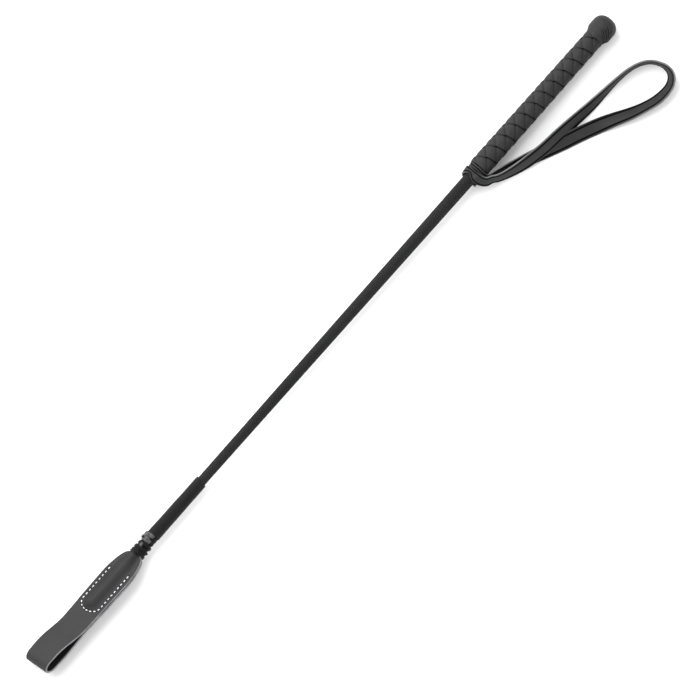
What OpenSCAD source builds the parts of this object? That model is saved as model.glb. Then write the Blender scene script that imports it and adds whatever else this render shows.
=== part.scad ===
// Riding crop with a plaited leather grip, a wrist loop and a folded leather keeper.
// The crop lies on a flat surface at z = 0. +X runs along the shaft towards the knob, +Z is up.
// The origin is on that surface, under the middle of the whole crop.
// All sizes are in millimetres. Stations along the shaft are measured from the crop's middle.

/* [Overall] */
// Length from the knob's end face to the fold of the keeper
crop_len = 699; // [690:1:720]
// Sideways distance from the origin to the shaft's axis
shaft_y = 31; // [27:1:35]

/* [Rod and shaft] */
// Radius of the fibreglass rod inside the handle
rod_butt_r = 3.5; // [3.2:0.1:3.7]
// Radius of the rod at its tip
rod_tip_r = 2.2; // [1.8:0.1:2.3]
// Outer radius of the braid below the grip
shaft_top_r = 5.4; // [5.2:0.1:5.6]
// Outer radius of the braid at the tip sleeve
shaft_tip_r = 4.2; // [4.1:0.1:4.5]
// Wall of the braided sheath
braid_wall = 0.8; // [0.6:0.1:0.9]

/* [Handle] */
// Length of the plaited grip
grip_len = 140; // [134:1:146]
// Grip radius at the knob
grip_top_r = 8.4; // [8.2:0.1:8.6]
// Grip radius at its lower end
grip_end_r = 9; // [8.8:0.1:9.2]
// Thickness of the leather plait
plait_t = 1.5; // [1.2:0.1:1.6]
// Length of the knob, from the grip to its end face
knob_len = 21.5; // [20:0.5:24]
// Largest radius of the knob
knob_r = 10.6; // [10.4:0.1:11]
// Radius of the flat middle of the knob's end
knob_flat_r = 2.2; // [1.6:0.1:3]
// Length over which the knob widens from the grip's radius to its own
knob_flare_len = 6; // [5:0.5:8]

/* [Wrist loop] */
// Width of the strap
strap_w = 12.7; // [12:0.1:13.2]
// Thickness of the strap
strap_t = 1.6; // [1.4:0.1:1.8]
// Width of each strap end where it is gathered and wound round the shaft
strap_wound_w = 8.4; // [8:0.1:8.8]
// How far the inner turn of the collar sits nearer the grip than the outer turn
strap_turn_step = 4; // [3:0.5:4.5]
// Radial running clearance between the collar and the shaft
collar_clearance = 0.06; // [0.03:0.01:0.1]

/* [Tip bindings] */
// Length of the ribbed sleeve over the lower end of the braid
tip_sleeve_len = 59; // [55:1:62]
// Radius of the sleeve at its keeper end
tip_sleeve_r = 5.5; // [5.3:0.1:5.7]
// Length of the leather lace knot
knot_len = 8; // [7:0.5:9]
// Length of the upper thread whipping
upper_whip_len = 4; // [3:0.5:5]
// Radius of the upper thread whipping
upper_whip_r = 5.6; // [5.4:0.1:5.8]
// Length of the lower thread whipping
lower_whip_len = 8.4; // [7:0.1:9]
// Radius of the lower thread whipping
lower_whip_r = 6.1; // [5.9:0.1:6.3]

/* [Keeper] */
// Length of the keeper from its neck to the fold
keeper_len = 119.5; // [116:0.5:124]
// Half width of the keeper at its neck
keeper_neck_w = 6.5; // [6:0.1:7]
// Half width of the keeper at its widest
keeper_half_w = 14.7; // [14:0.1:15]
// Half width of the keeper at the fold
keeper_fold_w = 12.8; // [12:0.1:13.5]
// Thickness of the keeper's leather
leather_t = 1.8; // [1.6:0.1:2]
// Outer height of the fold where it is fullest
fold_height = 10.6; // [9:0.2:11]
// How far the fold is pushed up out of the keeper's plane by the surface it lies on
fold_lift = 1.6; // [1.3:0.1:1.8]
// Angle by which the keeper is turned about the shaft, so that one edge lies on the surface
keeper_roll = 35; // [34:1:36]
// Distance from the neck to the line where the flap bends
flap_line = 63; // [62:1:65]

/* [Stitching] */
// Stitches along each side of the U
side_stitches = 9; // [7:1:9]
// Stitches round the end of the U
bend_stitches = 7; // [5:1:8]
// Radius of the sewing thread
thread_r = 0.4; // [0.3:0.05:0.45]
// Length of each stitch
stitch_len = 2.6; // [2:0.1:2.8]
// Half width of the U of stitches
stitch_half_w = 10.8; // [10:0.1:11]
// Distance from the neck to the first stitch of the longer side
stitch_start = 16.5; // [16:0.5:19]
// How much later the shorter side of the U starts
stitch_stagger = 2.5; // [0:0.5:3]
// Distance from the neck to where the round end of the U begins
stitch_bend = 52; // [51:0.5:52.5]
// How far the round end of the U reaches past there
stitch_reach = 7.5; // [7:0.1:7.8]

/* [Hidden] */

$fn = 96;
layer_gap = 0.1;        // radial gap between layers of one body
part_gap = 0.3;         // gap between bodies that move past each other
curve_steps = 12;       // straight pieces in each turned curve

sheath_lap = 13;        // length of braid that runs on under the grip
knob_socket = 10;       // thickness of the knob past the rod's end
rod_reach = 55;         // how far the rod goes into the keeper
whip_gap = 0.8;         // bare leather between the two whippings

// Stations along the shaft, from the knob to the fold
knob_end_x = crop_len / 2;
grip_top_x = knob_end_x - knob_len;
grip_end_x = grip_top_x - grip_len;
collar_top_x = grip_end_x - part_gap;
collar_end_x = collar_top_x - strap_wound_w - strap_turn_step;
braid_top_x = grip_end_x + sheath_lap;
taper_x = collar_end_x - 2;
fold_x = -crop_len / 2;
neck_x = fold_x + keeper_len;
lower_whip_x = neck_x + lower_whip_len;
upper_whip_x = lower_whip_x + whip_gap;
knot_x = upper_whip_x + upper_whip_len;
sleeve_end_x = knot_x + knot_len;
sleeve_top_x = sleeve_end_x + tip_sleeve_len;
braid_end_x = knot_x + 0.5;
rod_top_x = knob_end_x - knob_socket;
rod_tip_x = neck_x - rod_reach;
binding_len = 6;

// The shaft's axis lies as high as the knob's radius, so the knob touches the surface
shaft_z = knob_r;

// Colours
charcoal = [0.13, 0.13, 0.135];
black = [0.06, 0.06, 0.065];
grey_leather = [0.19, 0.19, 0.195];

function mix(a, b, t) = a + (b - a) * t;
function ramp(x, a, b) = min(1, max(0, (x - a) / (b - a)));
function ease(t) = (1 - cos(180 * t)) / 2;

// Radii of the rod and the braid at a station
function rod_r(x) = mix(rod_butt_r, rod_tip_r, ramp(x, taper_x, rod_tip_x));
function braid_r(x) = shaft_top_r + (shaft_tip_r - shaft_top_r) * max(0, (x - taper_x) / (sleeve_top_x - taper_x));

// Places a shape drawn about the shaft's axis into the resting crop
module lay() translate([0, shaft_y, shaft_z]) children();

// Turns a profile of [radius, station] points about the shaft's axis
module turned(points) rotate([0, 90, 0]) rotate_extrude() polygon(points);

// A plain tube about the shaft's axis between two stations
module tube(x0, x1, inner, outer) turned([[inner, x0], [outer, x0], [outer, x1], [inner, x1]]);

// A tapered layer over an inner profile: radii are [inner, outer] at each of the given stations
module layer(stations, inner, outer)
    turned(concat(
        [for (i = [0 : len(stations) - 1]) [inner[i], stations[i]]],
        [for (i = [len(stations) - 1 : -1 : 0]) [outer[i], stations[i]]]
    ));

// ---- Rod and shaft -------------------------------------------------------------------------

module core_rod() color([0.75, 0.72, 0.6]) lay()
    turned([
        [0, rod_tip_x], [rod_tip_r, rod_tip_x], [rod_butt_r, taper_x],
        [rod_butt_r, rod_top_x], [0, rod_top_x]
    ]);

// The cap stops the rod's cut end from working through the keeper
cap_r = 2.9;
cap_len = 14;
cap_end_x = rod_tip_x - cap_r + 1.3;

module rod_tip_cap() color(black) lay()
    difference() {
        union() {
            tube(cap_end_x + cap_r, rod_tip_x + cap_len, 0, cap_r);
            translate([cap_end_x + cap_r, 0, 0]) sphere(r = cap_r);
        }
        tube(rod_tip_x - 0.05, rod_tip_x + cap_len + 1, 0, rod_r(rod_tip_x + cap_len) + 0.05);
    }

module shaft_underlay() color([0.5, 0.45, 0.35]) lay() {
    stations = [braid_end_x, taper_x, braid_top_x];
    layer(
        stations,
        [for (x = stations) rod_r(x) + layer_gap],
        [for (x = stations) braid_r(x) - braid_wall - layer_gap]
    );
}

module braided_sheath() color(black) lay() {
    stations = [braid_end_x, taper_x, braid_top_x];
    layer(
        stations,
        [for (x = stations) braid_r(x) - braid_wall],
        [for (x = stations) braid_r(x)]
    );
}

// ---- Handle ---------------------------------------------------------------------------------

core_r = 6;
skirt_len = 7;
skirt_r = 6.8;
thread_layer = 0.5;

function grip_r(x) = mix(grip_end_r, grip_top_r, ramp(x, grip_end_x, grip_top_x));

module handle_core() color([0.62, 0.46, 0.3]) lay()
    tube(braid_top_x + layer_gap, grip_top_x - layer_gap, rod_butt_r + layer_gap, core_r);

module grip_binding() color([0.5, 0.5, 0.48]) lay()
    tube(grip_end_x, grip_end_x + binding_len, shaft_top_r + layer_gap, grip_end_r - plait_t - layer_gap);

module grip_padding() color([0.35, 0.35, 0.35]) lay() {
    stations = [grip_end_x + binding_len + layer_gap, grip_top_x - skirt_len - layer_gap];
    layer(
        stations,
        [core_r + layer_gap, core_r + layer_gap],
        [for (x = stations) grip_r(x) - plait_t - layer_gap]
    );
}

// The plait is thinner where it is drawn over the binding at the knob
module grip_plait() color(charcoal) lay() {
    step_x = grip_top_x - skirt_len;
    turned([
        [grip_r(grip_end_x) - plait_t, grip_end_x], [grip_end_r, grip_end_x],
        [grip_top_r, grip_top_x], [skirt_r + thread_layer + 2 * layer_gap, grip_top_x],
        [skirt_r + thread_layer + 2 * layer_gap, step_x], [grip_r(step_x) - plait_t, step_x]
    ]);
}

// Outline of the knob, drawn in by inset: a short neck, a flare, then a round shoulder to the flat end
shoulder_r = knob_r - knob_flat_r;
shoulder_x = knob_end_x - shoulder_r;
knob_neck_len = 1.5;
function knob_outline(inset) = concat(
    [[grip_top_r - inset, grip_top_x]],
    [for (i = [0 : curve_steps]) [
        mix(grip_top_r, knob_r, ease(i / curve_steps)) - inset,
        grip_top_x + knob_neck_len + knob_flare_len * i / curve_steps
    ]],
    [for (i = [0 : curve_steps]) [
        knob_flat_r + (shoulder_r - inset) * cos(90 * i / curve_steps),
        shoulder_x + (shoulder_r - inset) * sin(90 * i / curve_steps)
    ]]
);

cover_t = 1.4;
flange_t = 0.8;

module knob_core() color([0.62, 0.46, 0.3]) lay()
    difference() {
        turned(concat(
            [[0, grip_top_x]],
            knob_outline(cover_t + layer_gap),
            [[0, knob_end_x - cover_t - layer_gap]]
        ));
        tube(grip_top_x - 1, rod_top_x + layer_gap, 0, rod_butt_r + layer_gap);
        tube(grip_top_x - 1, grip_top_x + flange_t + layer_gap, 0, knob_r);
    }

module knob_cover() color(charcoal) lay() {
    difference() {
        turned(concat([[0, grip_top_x]], knob_outline(0), [[0, knob_end_x]]));
        turned(concat(
            [[0, grip_top_x - 1], [grip_top_r - cover_t, grip_top_x - 1]],
            knob_outline(cover_t),
            [[0, knob_end_x - cover_t]]
        ));
    }
    tube(grip_top_x - skirt_len, grip_top_x + flange_t, core_r + layer_gap, skirt_r);
    tube(grip_top_x, grip_top_x + flange_t, core_r + layer_gap, grip_top_r - cover_t / 2);
}

module knob_binding() color([0.5, 0.5, 0.48]) lay()
    tube(grip_top_x - skirt_len + 0.5, grip_top_x - 0.5, skirt_r + layer_gap,
        skirt_r + layer_gap + thread_layer);

// ---- Wrist loop -----------------------------------------------------------------------------

// The collar turns on the shaft and the loop swings about an upright line beside it
collar_bore = shaft_top_r + collar_clearance;
inner_turn_r = collar_bore + strap_t;
collar_r = inner_turn_r + strap_t;
loop_hinge = [grip_end_x - 5, -collar_r - 2.4];
root_r = 3;         // post at the hinge, where both strap ends leave the collar
root_low = -3.6;    // the post's ends, from the shaft's axis
root_high = 7.2;

module strap_collar() color(charcoal) lay()
    difference() {
        union() {
            tube(collar_top_x - strap_wound_w, collar_top_x, collar_bore, inner_turn_r);
            tube(collar_end_x, collar_end_x + strap_wound_w, collar_bore, collar_r);
            translate([loop_hinge[0], loop_hinge[1], root_low])
                cylinder(r = root_r, h = root_high - root_low);
            translate([loop_hinge[0] - root_r, loop_hinge[1], root_low])
                cube([2 * root_r, -loop_hinge[1] - collar_bore + 1, root_high - root_low]);
        }
        tube(collar_end_x - 1, collar_top_x + 1, 0, collar_bore);
    }

// A short row of stitches under the shaft holds the wound ends together
module collar_stitching() color(black) lay() {
    step = strap_wound_w / 4;
    for (i = [1 : 3])
        translate([collar_end_x + step * i, 0, -collar_r - thread_r - layer_gap / 2])
            rotate([90, 0, 0]) cylinder(r = thread_r, h = stitch_len, center = true, $fn = 24);
}

// Route of the strap from the hinge out along the upper limb, round the end and back along the lower
// limb. Each station is [x, y, z, lean, width]: x from the grip's lower end, y from the shaft's axis,
// z above the surface, lean of the strap's face from flat in degrees, and its width there.
strap_route = [
    [0, -14.5, 14, 62, 9], [5, -17.8, 13.4, 68, 10.5], [16, -22, 11.6, 64, 12.2], [30, -25.8, 10, 54, 12.7],
    [47, -28.8, 9.8, 50, 12.7], [65, -30.5, 9.2, 50, 12.7], [82, -32.2, 7.2, 54, 12.7],
    [99, -33.9, 6.3, 62, 12.7], [115, -34.9, 6.6, 74, 12.7], [128.5, -35.9, 6.8, 83, 12.7],
    [141, -37.8, 6.8, 88, 12.7], [150.6, -41.5, 6.8, 90, 12.7], [157.3, -47, 6.8, 90, 12.7],
    [161, -54.3, 6.8, 88, 12.7], [161.6, -61.5, 6.6, 78, 12.7], [158.6, -67.2, 6.2, 66, 12.7],
    [152.6, -70.6, 5.8, 56, 12.7], [145, -71.3, 5.4, 49, 12.7], [136, -70.1, 5.1, 44, 12.7],
    [126, -66.8, 4.8, 40, 12.7], [115, -61.8, 4, 30, 12.7], [103, -55, 2.7, 16, 12.7],
    [90, -48.2, 1.6, -4, 12.7], [76, -42.1, 2.9, -18, 12.7], [62, -36.6, 3.6, -25, 12.7],
    [48, -30.8, 4.3, -34, 12.7], [34, -25, 5.6, -43, 12.5], [19, -19, 7.6, -50, 11.5],
    [7, -14.6, 9.8, -53, 10], [1, -12.6, 10.6, -53, 9]
];
route_steps = 3;

// Smooth curve through the stations (Catmull-Rom), with every value of a station carried along
function spline(a, b, c, d, t) =
    0.5 * (2 * b + (c - a) * t + (2 * a - 5 * b + 4 * c - d) * t * t + (3 * b - a - 3 * c + d) * t * t * t);
function station(i) = strap_route[min(len(strap_route) - 1, max(0, i))];
function smooth_route() = concat(
    [for (i = [0 : len(strap_route) - 2], k = [0 : route_steps - 1])
        spline(station(i - 1), station(i), station(i + 1), station(i + 2), k / route_steps)],
    [station(len(strap_route) - 1)]
);

function flat_unit(v) = [v[0], v[1], 0] / norm([v[0], v[1]]);

// Corners of the strap's section at one station: the width leans up from the left of the route
function strap_section(p, ahead) =
    let (
        left = [-ahead[1], ahead[0], 0],
        across = cos(p[3]) * left + [0, 0, sin(p[3])],
        up = [0, 0, cos(p[3])] - sin(p[3]) * left,
        middle = [p[0], p[1], p[2] - shaft_z],
        half_w = across * p[4] / 2,
        half_t = up * strap_t / 2
    )
    [middle - half_w - half_t, middle + half_w - half_t, middle + half_w + half_t, middle - half_w + half_t];

module wrist_strap() color(charcoal) lay() translate([grip_end_x, 0, 0]) {
    route = smooth_route();
    last = len(route) - 1;
    sections = [for (i = [0 : last])
        strap_section(route[i], flat_unit(route[min(last, i + 1)] - route[max(0, i - 1)]))];
    points = [for (s = sections, p = s) p];
    sides = [for (i = [0 : last - 1], k = [0 : 3])
        let (a = 4 * i + k, b = 4 * i + (k + 1) % 4)
        each [[a, a + 4, b + 4], [a, b + 4, b]]];
    caps = [[0, 1, 2, 3], [4 * last + 3, 4 * last + 2, 4 * last + 1, 4 * last]];
    polyhedron(points, concat(sides, caps));
}

// ---- Tip bindings ---------------------------------------------------------------------------

neck_bore = rod_r(braid_end_x) + layer_gap;
neck_r = neck_bore + leather_t;

module tip_sleeve() color(black) lay() {
    stations = [sleeve_end_x, sleeve_top_x];
    layer(stations, [for (x = stations) braid_r(x) + layer_gap], [tip_sleeve_r, tip_sleeve_r - 0.3]);
}

// Two turns of flat lace round the shaft, and the lump where its ends are tied
module lace_knot() color([0.42, 0.42, 0.43]) lay() {
    turn_w = knot_len / 2 - 0.1;
    ring_r = braid_r(knot_x) + layer_gap;
    for (i = [0, 1])
        tube(knot_x + 0.1 + i * (turn_w + layer_gap), knot_x + turn_w + i * (turn_w + layer_gap),
            ring_r, ring_r + 1.1 + 0.2 * i);
    lump_r = 2.9;
    lump_at = [knot_x + knot_len / 2, 2.8, 2.4];
    difference() {
        translate(lump_at) sphere(r = lump_r);
        tube(knot_x - lump_r, knot_x + knot_len + lump_r, 0, ring_r);
    }
}

module upper_whipping() color(black) lay()
    tube(upper_whip_x + 0.1, knot_x - 0.1, neck_r + layer_gap, upper_whip_r);

module lower_whipping() color(black) lay()
    tube(neck_x, lower_whip_x, neck_r + layer_gap, lower_whip_r);

// ---- Keeper ---------------------------------------------------------------------------------

// The keeper is drawn with u along -X from its neck, y across its width and z through its thickness
module keeper_frame() lay() translate([neck_x, 0, 0]) rotate([-keeper_roll, 0, 0]) children();

shoulder_len = 26;
function keeper_w(u) = u < shoulder_len
    ? keeper_neck_w + (keeper_half_w - keeper_neck_w) * sqrt(1 - pow(1 - u / shoulder_len, 2))
    : mix(keeper_half_w, keeper_fold_w, (u - shoulder_len) / (keeper_len - shoulder_len));

// Plan outline of the keeper between two distances from the neck
module keeper_outline(from, to) {
    steps = 24;
    stations = [for (i = [0 : steps]) mix(from, to, i / steps)];
    polygon(concat(
        [for (u = stations) [-u, keeper_w(u)]],
        [for (i = [steps : -1 : 0]) [-stations[i], -keeper_w(stations[i])]]
    ));
}

bulge_r = cap_r + layer_gap;

// The rod, its cap and the room round them, in the keeper's own frame
module rod_room(clear) {
    rotate([0, -90, 0]) cylinder(r = bulge_r + clear, h = neck_x - cap_end_x - cap_r);
    translate([cap_end_x - neck_x + cap_r, 0, 0]) sphere(r = bulge_r + clear);
}

// One leaf of the sewn part, on the +Z side of the middle plane
module sewn_leaf() {
    neck_len = knot_x - neck_x - 0.2;
    difference() {
        union() {
            translate([0, 0, layer_gap / 2]) linear_extrude(leather_t) keeper_outline(0.4, flap_line);
            rod_room(leather_t);
            rotate([0, 90, 0]) cylinder(r = neck_r, h = neck_len);
        }
        rod_room(0);
        rotate([0, 90, 0]) translate([0, 0, -1]) cylinder(r = neck_bore, h = neck_len + 2);
        translate([-flap_line, 0, 0]) rotate([90, 0, 0])
            cylinder(r = leather_t + layer_gap / 2 + part_gap, h = 4 * keeper_half_w, center = true);
        translate([-2 * flap_line, -2 * keeper_half_w, -4 * leather_t + layer_gap / 2])
            cube([4 * flap_line, 4 * keeper_half_w, 4 * leather_t]);
    }
}

module keeper_upper_leaf() color(grey_leather) keeper_frame() sewn_leaf();

module keeper_lower_leaf() color(grey_leather) keeper_frame() mirror([0, 0, 1]) sewn_leaf();

// Places of the stitches with their direction: along both sides, then round the end of the U
function side_start(side) = side < 0 ? stitch_start : stitch_start + stitch_stagger;
function stitch_places() = concat(
    [for (side = [-1, 1], i = [0 : side_stitches - 1])
        [-mix(side_start(side), stitch_bend, (i + 0.5) / side_stitches), side * stitch_half_w, 0]],
    [for (i = [0 : bend_stitches - 1])
        let (a = 180 * (i + 0.5) / bend_stitches)
        [-stitch_bend - stitch_reach * sin(a), stitch_half_w * cos(a),
            atan2(stitch_half_w * sin(a), stitch_reach * cos(a))]]
);

module keeper_stitching() color("white") keeper_frame()
    for (p = stitch_places(), face = [-1, 1])
        translate([p[0], p[1], face * (leather_t + layer_gap + thread_r)]) rotate([0, 90, p[2]])
            cylinder(r = thread_r, h = stitch_len, center = true, $fn = 24);

// Side profile of the folded flap: the leaves part slowly, then meet round the fold
flap_open = 72;
fold_end_r = fold_height / 2;
function flap_swell(u) = ease(ramp(u, flap_open, keeper_len - 16));
function flap_half(u) = mix(leather_t + layer_gap / 2, fold_end_r, flap_swell(u));
function flap_mid(u) = fold_lift * flap_swell(u);
module flap_side(inset) {
    steps = 14;
    last_u = keeper_len - fold_end_r - 3;
    stations = [for (i = [0 : steps]) mix(flap_line, last_u, i / steps)];
    half = [for (u = stations) max(0.01, flap_half(u) - inset)];
    nose = [for (i = [0 : 2 * curve_steps])
        let (a = 90 - 90 * i / curve_steps)
        [-last_u - (keeper_len - last_u - inset) * cos(a), flap_mid(last_u) + half[steps] * sin(a)]];
    polygon(concat(
        [for (i = [0 : steps]) [-stations[i], flap_mid(stations[i]) + half[i]]],
        nose,
        [for (i = [steps : -1 : 0]) [-stations[i], flap_mid(stations[i]) - half[i]]]
    ));
}

module keeper_flap() color(grey_leather) keeper_frame()
    intersection() {
        rotate([90, 0, 0]) linear_extrude(4 * keeper_half_w, center = true)
            difference() {
                union() {
                    flap_side(0);
                    translate([-flap_line, 0]) circle(r = leather_t + layer_gap / 2);
                }
                difference() {
                    flap_side(leather_t);
                    translate([-flap_open - 3, -fold_height]) square([flap_open, 2 * fold_height]);
                }
            }
        translate([0, 0, -fold_height]) linear_extrude(2 * fold_height)
            keeper_outline(flap_line - 4, keeper_len);
    }

core_rod();
rod_tip_cap();
shaft_underlay();
braided_sheath();
handle_core();
grip_padding();
grip_binding();
grip_plait();
knob_core();
knob_cover();
knob_binding();
strap_collar();
collar_stitching();
wrist_strap();
tip_sleeve();
lace_knot();
upper_whipping();
lower_whipping();
keeper_upper_leaf();
keeper_lower_leaf();
keeper_stitching();
keeper_flap();
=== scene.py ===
"""Looks of the riding crop: plaited grip, gathered knob, braided shaft, wound tip, keeper and strap."""
import math

import bmesh
import bpy
import numpy as np
from mathutils import Matrix, Vector


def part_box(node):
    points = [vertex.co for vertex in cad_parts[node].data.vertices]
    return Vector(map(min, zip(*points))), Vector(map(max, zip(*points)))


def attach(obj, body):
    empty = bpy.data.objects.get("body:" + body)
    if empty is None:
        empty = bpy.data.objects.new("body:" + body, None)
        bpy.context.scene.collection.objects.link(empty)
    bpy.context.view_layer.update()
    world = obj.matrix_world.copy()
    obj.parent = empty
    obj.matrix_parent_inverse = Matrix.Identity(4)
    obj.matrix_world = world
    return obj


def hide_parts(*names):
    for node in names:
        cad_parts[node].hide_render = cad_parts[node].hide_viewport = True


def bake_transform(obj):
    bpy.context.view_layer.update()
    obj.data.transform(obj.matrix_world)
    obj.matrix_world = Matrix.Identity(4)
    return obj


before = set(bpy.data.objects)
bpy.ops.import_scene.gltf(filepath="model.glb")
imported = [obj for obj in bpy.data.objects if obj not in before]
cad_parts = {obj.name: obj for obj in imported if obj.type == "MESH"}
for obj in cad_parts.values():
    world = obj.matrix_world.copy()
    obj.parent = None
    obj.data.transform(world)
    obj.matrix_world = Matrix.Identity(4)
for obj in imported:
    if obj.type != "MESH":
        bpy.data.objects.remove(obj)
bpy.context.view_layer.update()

MM = 0.001
rng = np.random.default_rng(7)

# ---- Places taken from the frame -----------------------------------------------------------


def span(node):
    """The node's lowest and highest station along the shaft."""
    low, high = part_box(node)
    return low.x, high.x


def radius_of(node):
    """Half the node's height, for a node that is round about the shaft."""
    low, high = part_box(node)
    return (high.z - low.z) / 2


rod_low, rod_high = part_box("core_rod")
AXIS_Y = (rod_low.y + rod_high.y) / 2
AXIS_Z = (rod_low.z + rod_high.z) / 2
GRIP_END, GRIP_TOP = span("grip_plait")
KNOB_END = span("knob_cover")[1]
COLLAR_END, COLLAR_TOP = span("strap_collar")
SLEEVE_END, SLEEVE_TOP = span("tip_sleeve")
KNOT_END, KNOT_TOP = span("lace_knot")
UPPER_END, UPPER_TOP = span("upper_whipping")
NECK_X, LOWER_TOP = span("lower_whipping")
FOLD_X = span("keeper_flap")[0]
KNOB_R = radius_of("knob_cover")
GRIP_R = radius_of("grip_plait")
GRIP_TOP_R = GRIP_R - 0.6 * MM
SHAFT_R = radius_of("braided_sheath")
SHAFT_TIP_R = SHAFT_R - 1.2 * MM
PLAIT_TOP = GRIP_TOP + 1.5 * MM


def ease(t):
    return (1 - np.cos(np.pi * np.clip(t, 0, 1))) / 2


def mix(a, b, t):
    return a + (b - a) * t


def bell(distance, width):
    """1 at no distance, falling smoothly to nothing a few widths away."""
    return np.exp(-(distance / width) ** 2)


def about_shaft(x, radius, angle):
    """Points about the shaft's axis. The angle is measured from straight up towards +Y."""
    x, radius, angle = np.broadcast_arrays(x, radius, angle)
    return np.stack([x, AXIS_Y + radius * np.sin(angle), AXIS_Z + radius * np.cos(angle)], axis=-1)


def unit(v):
    return v / np.maximum(np.linalg.norm(v, axis=-1, keepdims=True), 1e-12)


# ---- Meshes --------------------------------------------------------------------------------


def grid_quads(rows, columns, wrap_columns=False):
    """Faces of a grid of points that is stored row by row."""
    column_count = columns if wrap_columns else columns - 1
    r, c = np.meshgrid(np.arange(rows - 1), np.arange(column_count), indexing="ij")
    c1 = (c + 1) % columns
    this_row = r * columns
    next_row = (r + 1) * columns
    quads = np.stack([this_row + c, this_row + c1, next_row + c1, next_row + c], axis=-1)
    return quads.reshape(-1, 4)


class Shape:
    """Collects swept and gridded parts, then makes one mesh object of them."""

    def __init__(self):
        self.points = []
        self.faces = []
        self.slots = []
        self.count = 0

    def add(self, points, faces, slots=0):
        points = np.asarray(points).reshape(-1, 3)
        self.points.append(points)
        self.faces += [[v + self.count for v in face] for face in faces]
        self.slots += [slots] * len(faces) if np.isscalar(slots) else list(slots)
        self.count += len(points)

    def sweep(self, rings, slots=0):
        """A closed body through rings of points, capped at both ends."""
        rows, columns = rings.shape[:2]
        quads = grid_quads(rows, columns, wrap_columns=True)
        around = np.broadcast_to(slots, columns)
        self.add(rings, quads.tolist(), np.tile(around, rows - 1).tolist())
        start = self.count - rows * columns
        end = self.count - columns
        self.faces.append([start + k for k in range(columns)][::-1])
        self.faces.append([end + k for k in range(columns)])
        self.slots += [int(around[0]), int(around[0])]

    def loop(self, rings):
        """A closed body whose last ring joins its first."""
        columns = rings.shape[1]
        joined = np.concatenate([rings, rings[:1]])
        quads = grid_quads(len(joined), columns, wrap_columns=True) % (len(rings) * columns)
        self.add(rings, quads.tolist())

    def make(self, name, materials, attributes=None):
        mesh = bpy.data.meshes.new(name)
        mesh.from_pydata(np.concatenate(self.points).tolist(), [], self.faces)
        for material in materials:
            mesh.materials.append(material)
        mesh.polygons.foreach_set("material_index", self.slots)
        for key, values in (attributes or {}).items():
            layer = mesh.attributes.new(key, "FLOAT", "POINT")
            layer.data.foreach_set("value", np.asarray(values, np.float32).ravel())
        mesh.polygons.foreach_set("use_smooth", [True] * len(mesh.polygons))
        mesh.update()
        piece = bpy.data.objects.new(name, mesh)
        bpy.context.scene.collection.objects.link(piece)
        outward(mesh)
        return piece


def outward(mesh):
    """Turns every face of a closed mesh outward."""
    work = bmesh.new()
    work.from_mesh(mesh)
    bmesh.ops.recalc_face_normals(work, faces=work.faces)
    work.to_mesh(mesh)
    work.free()


def thread_rings(path, radius, sides=8):
    """Round rings along a path, for a thread or cord."""
    tangent = unit(np.gradient(path, axis=0))
    side = unit(np.cross(tangent, np.array([0.31, 0.17, 0.94])))
    over = np.cross(tangent, side)
    turn = np.linspace(0, 2 * np.pi, sides, endpoint=False)
    radius = np.broadcast_to(radius, len(path))[:, None, None]
    ring = np.cos(turn)[None, :, None] * side[:, None] + np.sin(turn)[None, :, None] * over[:, None]
    return path[:, None] + radius * ring


def finish_piece(piece, body, slot, *nodes):
    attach(piece, body)
    if nodes:
        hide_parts(*nodes)


# ---- Materials -----------------------------------------------------------------------------


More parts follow.
